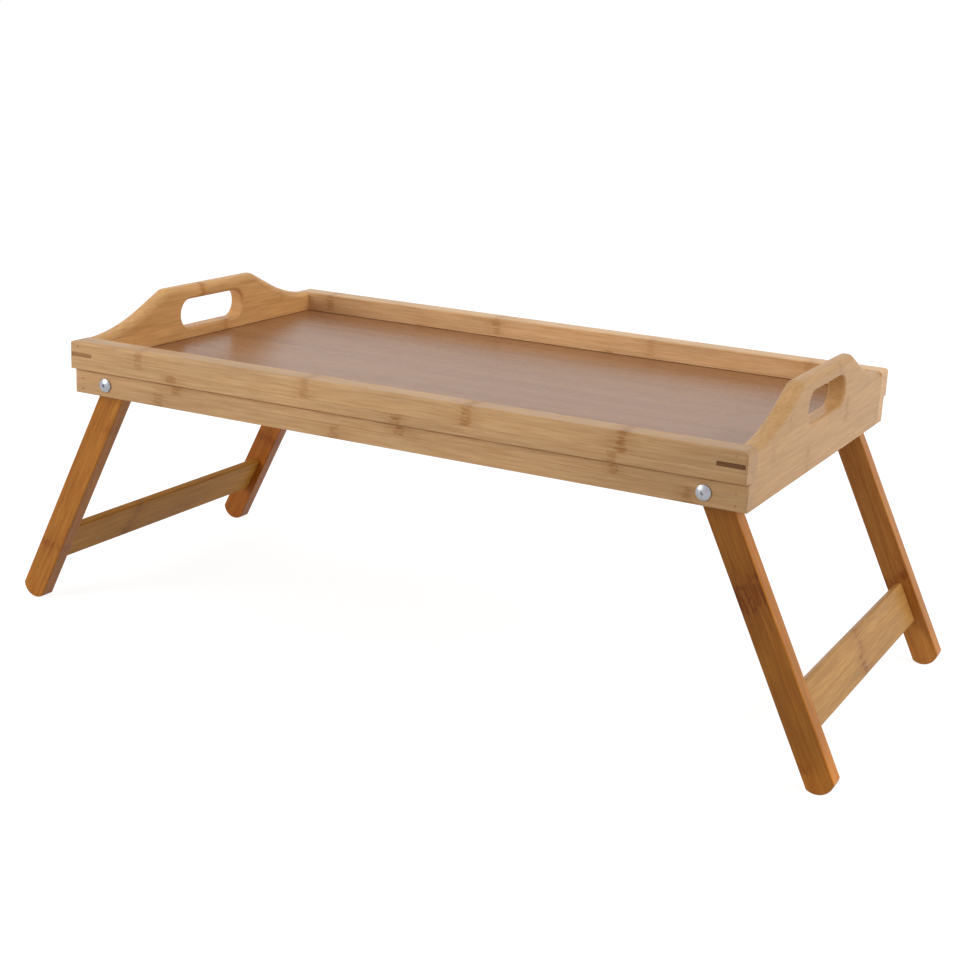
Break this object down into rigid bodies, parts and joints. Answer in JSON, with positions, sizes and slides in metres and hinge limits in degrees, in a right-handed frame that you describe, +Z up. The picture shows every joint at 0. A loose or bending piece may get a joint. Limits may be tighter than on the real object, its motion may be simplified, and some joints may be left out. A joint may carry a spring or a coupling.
{
  "type": "bed tray table",
  "caption": "Rectangular bamboo serving tray with raised end grips, hand holes and a laminated floor, on splayed leg frames that fold flat underneath.",
  "frame": {"origin": "on the surface that the feet stand on, under the middle of the tray", "axes": "+X along the tray's length, from the left grip to the right one; +Y from the front rail to the back rail; +Z up"},
  "size_m": [0.63, 0.3, 0.2318],
  "materials": {
    "bamboo_light": "clear satin lacquer on pale strip bamboo",
    "bamboo_dark": "clear satin lacquer on orange-brown bamboo",
    "panel_laminate": "satin brown wood-grain laminate",
    "key_wood": "dark bamboo, glued in",
    "brad_steel": "dull steel, heads just below the surface",
    "washer_nylon": "plain",
    "bolt_steel": "bright nickel plate"
  },
  "bodies": {
    "tray": {"front_rail": "bamboo_light", "back_rail": "bamboo_light", "left_end_board": "bamboo_light", "right_end_board": "bamboo_light", "tray_panel": "panel_laminate", "corner_key_front_left": "key_wood", "corner_brads_front_left": "brad_steel", "leg_washer_front_left": "washer_nylon", "pivot_bolt_front_left": "bolt_steel", "cap_nut_front_left": "bolt_steel", "corner_key_back_left": "key_wood", "corner_brads_back_left": "brad_steel", "leg_washer_back_left": "washer_nylon", "pivot_bolt_back_left": "bolt_steel", "cap_nut_back_left": "bolt_steel", "corner_key_front_right": "key_wood", "corner_brads_front_right": "brad_steel", "leg_washer_front_right": "washer_nylon", "pivot_bolt_front_right": "bolt_steel", "cap_nut_front_right": "bolt_steel", "corner_key_back_right": "key_wood", "corner_brads_back_right": "brad_steel", "leg_washer_back_right": "washer_nylon", "pivot_bolt_back_right": "bolt_steel", "cap_nut_back_right": "bolt_steel"},
    "left_leg_frame": {"leg_front_left": "bamboo_dark", "leg_back_left": "bamboo_dark", "left_stretcher": "bamboo_dark"},
    "right_leg_frame": {"leg_front_right": "bamboo_dark", "leg_back_right": "bamboo_dark", "right_stretcher": "bamboo_dark"}
  },
  "joints": [
    {"name": "left_leg_fold", "type": "hinge", "parent": "tray", "child": "left_leg_frame", "pos_m": [-0.22295, 0, 0.17728], "axis": [0, -1, 0], "range_deg": [0, 116]},
    {"name": "right_leg_fold", "type": "hinge", "parent": "tray", "child": "right_leg_frame", "pos_m": [0.22295, 0, 0.17728], "axis": [0, 1, 0], "range_deg": [0, 116]}
  ]
}
